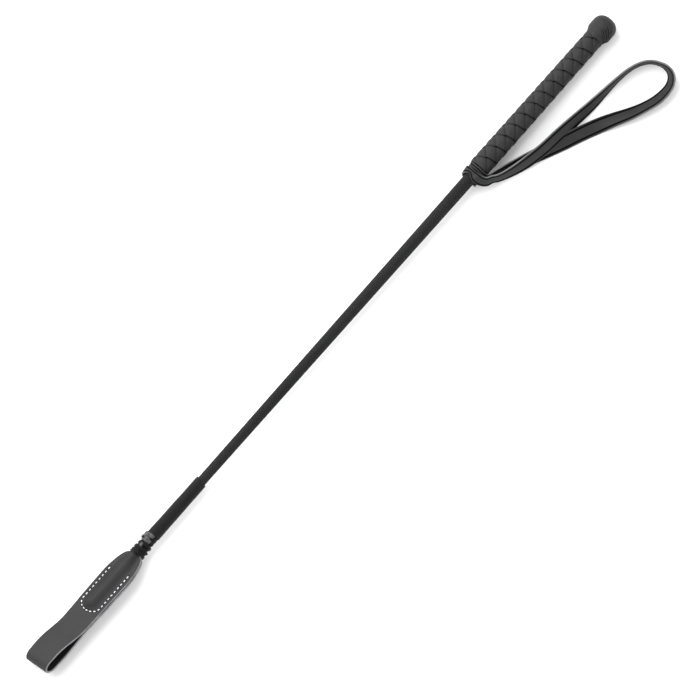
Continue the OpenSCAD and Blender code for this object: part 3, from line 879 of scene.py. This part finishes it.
def keeper_shade_and_dents(middle):
    """How much painted shade lies beside the ridge and in the needle holes, and how deep the holes dent it.
    """
    mark = np.clip(1.5 * ridge_slope(middle[..., 0], middle[..., 1]), 0, 0.85)
    dent = np.zeros(middle.shape[:2])
    for hole_u, hole_w in needle_holes():
        near = np.hypot(middle[..., 0] - hole_u, middle[..., 1] - hole_w)
        # Painted shade in and round each needle hole, on top of the dent.
        mark = np.maximum(mark, np.clip(1.4 * bell(near, 0.8 * MM), 0, 1))
        dent = np.maximum(dent, bell(near, 0.6 * MM))
    return mark, dent


def make_keeper():
    across = np.concatenate([[-1, -0.993, -0.972], np.linspace(-0.94, 0.94, 57), [0.972, 0.993, 1]])
    middle = keeper_middle(across)
    mark, dent = keeper_shade_and_dents(middle)
    normal = unit(np.cross(np.gradient(middle, axis=0), np.gradient(middle, axis=1)))
    edge = np.clip((1 - np.abs(across)) * 14, 0, 0.8) / 0.8
    half = LEAF / 2 * (0.72 + 0.28 * np.sqrt(np.clip(1 - (1 - edge) ** 2, 0, 1)))
    outer = middle - normal * (half[None, :, None] - 0.38 * MM * dent[..., None])
    inner = middle + normal * half[None, :, None]
    rings = np.concatenate([outer, inner[:, ::-1]], axis=1)
    columns = len(across)
    slots = np.zeros(2 * columns, int)
    slots[[0, columns - 2, columns - 1, columns, 2 * columns - 2, 2 * columns - 1]] = 1
    # The inner faces get a mark of 0.75: partly the flesh side's darker tone, partly painted shade inside
    # the flap's opening.
    marks = np.concatenate([mark, np.full_like(mark, 0.75)], axis=1)
    shape = Shape()
    shape.sweep(keeper_point(rings[..., 0], rings[..., 1], rings[..., 2]), slots)
    piece = shape.make("keeper_strip", [KEEPER_LEATHER, KEEPER_EDGE], {"mark": marks})
    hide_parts("keeper_upper_leaf", "keeper_lower_leaf", "keeper_flap")
    bend = 7 * MM
    tuple(keeper_point(HINGE_U - bend, 0, 0))
    tuple(keeper_point(HINGE_U + bend, 0, 0))
    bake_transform(piece)


def make_stitches():
    """Saddle stitches of thick white thread that dip into the needle holes on both faces."""
    shape = Shape()
    t = np.linspace(-1, 1, 13)
    for u, w, a, pitch in seam_places():
        sway = rng.uniform(-0.12, 0.12)
        reach = pitch * 0.23
        along_u = u + reach * t * math.cos(a + sway)
        along_w = w + reach * t * math.sin(a + sway)
        face = LEAF / 2 + 0.22 * MM - 0.7 * MM * np.abs(t) ** 5
        thread_radius = 0.4 * MM * (1 - 0.35 * np.abs(t) ** 4) * rng.uniform(0.92, 1.08)
        for way in (-1, 1):
            height = way * (leaf_height(along_u, along_w) + face)
            path = keeper_point(along_u, along_w, height)
            shape.sweep(thread_rings(path, thread_radius, sides=10))
    piece = shape.make("keeper_stitch_thread", [WHITE_THREAD])
    finish_piece(piece, "crop", "white_thread", "keeper_stitching")


# ---- Wrist strap ---------------------------------------------------------------------------

# The strap's stations, the same as in part.scad. For each: how far along from the grip's lower end and
# across from the shaft's axis, the height, the lean of its face from flat in degrees, and the width.
# Lengths are in millimetres.
STRAP_ROUTE = [
    (0, -14.5, 14, 62, 9), (5, -17.8, 13.4, 68, 10.5), (16, -22, 11.6, 64, 12.2), (30, -25.8, 10, 54, 12.7),
    (47, -28.8, 9.8, 50, 12.7), (65, -30.5, 9.2, 50, 12.7), (82, -32.2, 7.2, 54, 12.7),
    (99, -33.9, 6.3, 62, 12.7), (115, -34.9, 6.6, 74, 12.7), (128.5, -35.9, 6.8, 83, 12.7),
    (141, -37.8, 6.8, 88, 12.7), (150.6, -41.5, 6.8, 90, 12.7), (157.3, -47, 6.8, 90, 12.7),
    (161, -54.3, 6.8, 88, 12.7), (161.6, -61.5, 6.6, 78, 12.7), (158.6, -67.2, 6.2, 66, 12.7),
    (152.6, -70.6, 5.8, 56, 12.7), (145, -71.3, 5.4, 49, 12.7), (136, -70.1, 5.1, 44, 12.7),
    (126, -66.8, 4.8, 40, 12.7), (115, -61.8, 4, 30, 12.7), (103, -55, 2.7, 16, 12.7),
    (90, -48.2, 1.6, -4, 12.7), (76, -42.1, 2.9, -18, 12.7), (62, -36.6, 3.6, -25, 12.7),
    (48, -30.8, 4.3, -34, 12.7), (34, -25, 5.6, -43, 12.5), (19, -19, 7.6, -50, 11.5),
    (7, -14.6, 9.8, -53, 10), (1, -12.6, 10.6, -53, 9),
]
WOUND_W = 8.4 * MM


def route_stations():
    """Middle, width direction and width at each station of the route."""
    rows = np.array(STRAP_ROUTE, float)
    middle = np.stack([GRIP_END + rows[:, 0] * MM, AXIS_Y + rows[:, 1] * MM, rows[:, 2] * MM], 1)
    travel = np.gradient(middle, axis=0)
    left = unit(np.stack([-travel[:, 1], travel[:, 0], np.zeros(len(rows))], 1))
    lean = np.radians(rows[:, 3])[:, None]
    across = np.cos(lean) * left + np.sin(lean) * np.array([0, 0, 1.0])
    return middle, across, rows[:, 4] * MM


def wound_stations(edge, side, rows):
    """A strap end wound round the shaft, from rows of turn in degrees, width, radius and slope.

    edge is the station of the strap's edge nearest the grip, and side is 1 if that is its upper edge or -1
    if it is the lower.
    """
    rows = np.array(rows, float)
    turn = np.radians(rows[:, 0])
    width = rows[:, 1] * MM
    middle = about_shaft(edge - width / 2, rows[:, 2] * MM, turn)
    out = about_shaft(0, 1, turn) - about_shaft(0, 0, turn)
    across = np.array([1.0, 0, 0]) + np.tan(np.radians(rows[:, 3]))[:, None] * out
    return middle, side * unit(across), width


def leaving_stations(points):
    """Stations between a wound end and the route, from rows of x, y, z, edge direction and width."""
    rows = np.array(points, float)
    middle = np.stack([GRIP_END + rows[:, 0] * MM, AXIS_Y + rows[:, 1] * MM, AXIS_Z + rows[:, 2] * MM], 1)
    return middle, unit(rows[:, 3:6]), rows[:, 6] * MM


def strap_stations():
    first = wound_stations(COLLAR_END + WOUND_W, 1, [
        (250, 8.4, 7.7, 5), (225, 8.4, 7.7, 5), (200, 8.4, 7.7, 5), (175, 8.4, 7.7, 5), (150, 8.4, 7.7, 5),
        (125, 8.2, 7.7, 6), (100, 7.6, 7.6, 7), (75, 6.6, 7.5, 9), (50, 5.4, 7.4, 12), (28, 4.6, 7.4, 14),
        (8, 4.8, 7.4, 14), (-12, 6.4, 7.5, 10),
    ])
    leave_first = leaving_stations([
        (-8.2, -4.6, 7.4, 0.97, -0.12, 0.3, 8.4), (-7.3, -9, 6.2, 0.84, 0.2, 0.5, 8.4),
        (-4.6, -12.6, 4.9, 0.5, 0.45, 0.74, 8.5),
    ])
    route = route_stations()
    leave_second = leaving_stations([
        (-2.8, -10.6, 1.2, -0.35, -0.62, -0.7, 8.6), (-4.2, -7.6, 3.6, -0.75, -0.5, -0.45, 8.4),
    ])
    second = wound_stations(COLLAR_TOP, -1, [
        (-34, 6.2, 7.0, 16), (-14, 4.8, 7.1, 20), (6, 4.6, 7.1, 22), (28, 4.8, 7.1, 22), (50, 5.6, 6.9, 18),
        (75, 6.8, 6.7, 12), (100, 7.8, 6.4, 6), (125, 8.4, 6.3, 0), (150, 8.4, 6.3, 0), (175, 8.4, 6.3, 0),
        (200, 8.4, 6.3, 0), (225, 8.4, 6.3, 0), (250, 8.4, 6.3, 0),
    ])
    parts = (first, leave_first, route, leave_second, second)
    return tuple(np.concatenate([part[k] for part in parts]) for k in range(3))


def through(values, steps):
    """A smooth curve through rows of values (Catmull-Rom)."""
    padded = np.concatenate([values[:1], values, values[-1:]])
    t = np.linspace(0, 1, steps, endpoint=False)[:, None]
    pieces = []
    for a, b, c, d in zip(padded[:-3], padded[1:-2], padded[2:-1], padded[3:]):
        pieces.append(0.5 * (2 * b + (c - a) * t + (2 * a - 5 * b + 4 * c - d) * t ** 2
                             + (3 * b - a - 3 * c + d) * t ** 3))
    return np.concatenate(pieces + [values[-1:]])


def strap_section():
    """Half of the strap's face with its creased line: distance from the edge, height, material slot. Slot
    2, the crease's groove, takes the painted seam shade.
    """
    from_edge = np.array([0, 0.15, 0.5, 1, 1.25, 1.5, 2, 2.5, 2.75, 3.3]) * MM
    height = np.array([0.4, 0.66, 0.8, 0.84, 0.74, 0.34, 0.26, 0.34, 0.74, 0.84]) * MM
    slots = np.array([1, 0, 0, 0, 2, 2, 2, 2, 0, 0])
    return from_edge, height, slots


def make_strap():
    middle, across, width = strap_stations()
    steps = 10
    path = through(middle, steps)
    across = unit(through(across, steps))
    width = through(width[:, None], steps)
    travel = unit(np.gradient(path, axis=0))
    across = unit(across - np.sum(across * travel, 1, keepdims=True) * travel)
    up = np.cross(travel, across)
    from_edge, height, face_slots = strap_section()
    half = width / 2
    inset = from_edge[None] * np.clip(half / (6.35 * MM), 0.6, 1)
    right = np.concatenate([-half + inset, np.zeros_like(half), (half - inset)[:, ::-1]], axis=1)
    profile = np.concatenate([height, [0.86 * MM], height[::-1]])
    offsets = np.concatenate([right, right[:, ::-1]], axis=1)
    heights = np.concatenate([profile, -profile[::-1]])
    rings = path[:, None] + across[:, None] * offsets[..., None] + up[:, None] * heights[None, :, None]
    slots = np.tile(np.concatenate([face_slots, face_slots[::-1], [1]]), 2)
    shape = Shape()
    shape.sweep(rings, slots)
    piece = shape.make("wrist_strap_leather", [STRAP_LEATHER, STRAP_EDGE, SEAM_SHADE])
    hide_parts("strap_collar", "wrist_strap")
    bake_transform(piece)


def make_collar_stitches():
    """Three stitches on the underside that hold the wound strap ends."""
    shape = Shape()
    t = np.linspace(-1, 1, 11)
    collar_face = 8.62 * MM
    for k in range(3):
        x = COLLAR_END + WOUND_W * (k + 1) / 4
        turn = np.pi + 0.17 * t
        radius = collar_face + 0.2 * MM - 0.6 * MM * np.abs(t) ** 5
        shape.sweep(thread_rings(about_shaft(x, radius, turn), 0.38 * MM, sides=10))
    piece = shape.make("collar_stitch_thread", [WHIP_THREAD])
    finish_piece(piece, "collar", "black_thread", "collar_stitching")


# ---- Inner pieces that stay as the CAD has them --------------------------------------------


def dress_inner_nodes():
    looks = {
        "core_rod": ground_fibreglass("rod_fibreglass"),
        "rod_tip_cap": moulded_rubber("cap_rubber"),
        "shaft_underlay": UNDERLAY,
        "handle_core": turned_wood("handle_wood"),
        "knob_core": turned_wood("knob_wood"),
        "grip_padding": felt("padding_felt"),
        "grip_binding": INNER_THREAD,
        "knob_binding": INNER_THREAD,
    }
    for name, material in looks.items():
        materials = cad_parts[name].data.materials
        materials.clear()
        materials.append(material)


# ---- Floor, light and camera ---------------------------------------------------------------

ELEVATION = math.radians(79)
HEADING = math.radians(48.994)
AIM = Vector((8.8, 11.7, 9.5)) * MM
VIEW_WIDTH = 0.56
DISTANCE = 20.0

RIGHT = Vector((math.cos(HEADING), -math.sin(HEADING), 0))
TO_CAMERA = Vector((-math.sin(HEADING) * math.cos(ELEVATION), -math.cos(HEADING) * math.cos(ELEVATION),
                    math.sin(ELEVATION)))
UP = TO_CAMERA.cross(RIGHT)


def facing(place, back, right, up):
    turn = Matrix((right, up, back)).transposed().to_4x4()
    return Matrix.Translation(place) @ turn


def add_camera():
    data = bpy.data.cameras.new("camera")
    data.sensor_width = 36
    data.lens = data.sensor_width * DISTANCE / VIEW_WIDTH
    data.clip_end = 2 * DISTANCE
    camera = bpy.data.objects.new("camera", data)
    camera.matrix_world = facing(AIM + TO_CAMERA * DISTANCE, TO_CAMERA, RIGHT, UP)
    bpy.context.scene.collection.objects.link(camera)
    bpy.context.scene.camera = camera


def add_area(name, place, size, power):
    data = bpy.data.lights.new(name, "AREA")
    data.size = size
    data.energy = power
    light = bpy.data.objects.new(name, data)
    light.location = place
    light.rotation_euler = (AIM - place).to_track_quat("-Z", "Y").to_euler()
    bpy.context.scene.collection.objects.link(light)


def add_floor():
    shape = Shape()
    side = 3.0
    corners = np.array([[-side, -side, 0], [side, -side, 0], [side, side, 0], [-side, side, 0]])
    shape.add(corners, [[0, 1, 2, 3]])
    look = Look("floor_paper", 0.9, specular=0.1)
    clouds = look.noise(0.4, 2)
    look.colour(look.ramp(clouds, [(0.3, (0.9, 0.9, 0.9)), (0.7, (0.93, 0.93, 0.93))]))
    floor = shape.make("floor", [look.material])


def add_light():
    world = bpy.data.worlds.new("studio")
    world.use_nodes = True
    world.node_tree.nodes["Background"].inputs["Color"].default_value = (1, 1, 1, 1)
    world.node_tree.nodes["Background"].inputs["Strength"].default_value = 1.05
    bpy.context.scene.world = world
    add_area("key", AIM - RIGHT * 0.8 + UP * 0.75 + TO_CAMERA * 0.9, 1.8, 38)
    add_area("fill", AIM + RIGHT * 0.9 - UP * 0.8 + TO_CAMERA * 0.8, 1.2, 5)
    bpy.context.scene.view_settings.view_transform = "Standard"


add_camera()
add_floor()
add_light()
dress_inner_nodes()
make_grip()
make_knob()
make_braid()
make_sleeve()
make_knot()
make_lace_tail()
make_whippings()
make_keeper()
make_stitches()
make_strap()
make_collar_stitches()
